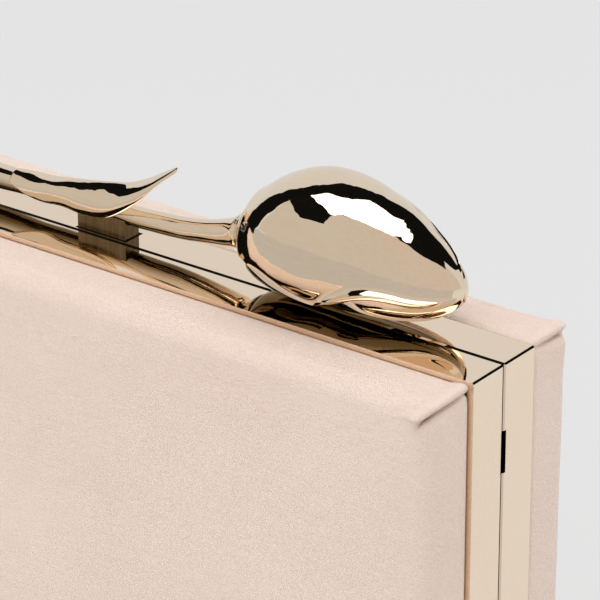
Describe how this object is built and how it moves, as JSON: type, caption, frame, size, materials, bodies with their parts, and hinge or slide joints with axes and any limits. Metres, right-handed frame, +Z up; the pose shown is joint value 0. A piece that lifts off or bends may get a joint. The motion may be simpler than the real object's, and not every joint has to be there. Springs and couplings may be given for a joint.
{
  "type": "minaudiere",
  "caption": "Hard box clutch: two padded satin halves in polished rails, hinged along the bottom, closed by a sculpted flower bud clasp that tilts back to release the catch.",
  "frame": {"origin": "middle of the underside of the closed bag, where the parting plane meets the plane of the rails' bottom faces; the back half is 2 mm deeper than the front", "axes": "+X along the bag to the bud's side, -Y out of the front panel, +Z up"},
  "size_m": [0.167, 0.0412, 0.1313],
  "materials": {
    "pale_gold": "pale gold plate, mirror polished",
    "plated_core": "pale gold plate, mirror polished",
    "spring_steel": "bright drawn steel",
    "blush_satin": "blush satin with a faint slub",
    "padding": "white foam wadding",
    "shell_board": "moulded shell",
    "lining": "soft suede-like lining"
  },
  "bodies": {
    "back_half": {"back_frame": "pale_gold", "back_satin": "blush_satin", "back_padding": "padding", "back_shell": "shell_board", "back_lining": "lining", "back_hinge_leaf": "pale_gold", "hinge_pin": "spring_steel", "chain_lug_left": "pale_gold", "chain_lug_right": "pale_gold", "latch_bracket": "pale_gold", "latch_pivot_pin": "spring_steel", "latch_spring": "spring_steel"},
    "front_half": {"front_frame": "pale_gold", "front_satin": "blush_satin", "front_padding": "padding", "front_shell": "shell_board", "front_lining": "lining", "front_hinge_leaf": "pale_gold", "latch_keeper": "spring_steel"},
    "clasp": {"clasp_post": "pale_gold", "latch_hook": "spring_steel", "hook_screws": "spring_steel", "flower_stem": "pale_gold", "stem_leaf": "pale_gold", "bud_core": "plated_core", "front_petal": "pale_gold", "inner_petal": "pale_gold", "lower_petal": "pale_gold", "back_petal": "pale_gold"}
  },
  "joints": [
    {"name": "lid_hinge", "type": "hinge", "parent": "back_half", "child": "front_half", "pos_m": [0, 0, 0.0018], "axis": [1, 0, 0], "range_deg": [0, 90]},
    {"name": "clasp_tilt", "type": "hinge", "parent": "back_half", "child": "clasp", "pos_m": [0, 0.0028, 0.1035], "axis": [-1, 0, 0], "range_deg": [0, 6], "stiffness_Nm_per_rad": 0.15, "springref_deg": -20.05, "deforming": ["latch_spring"]}
  ]
}
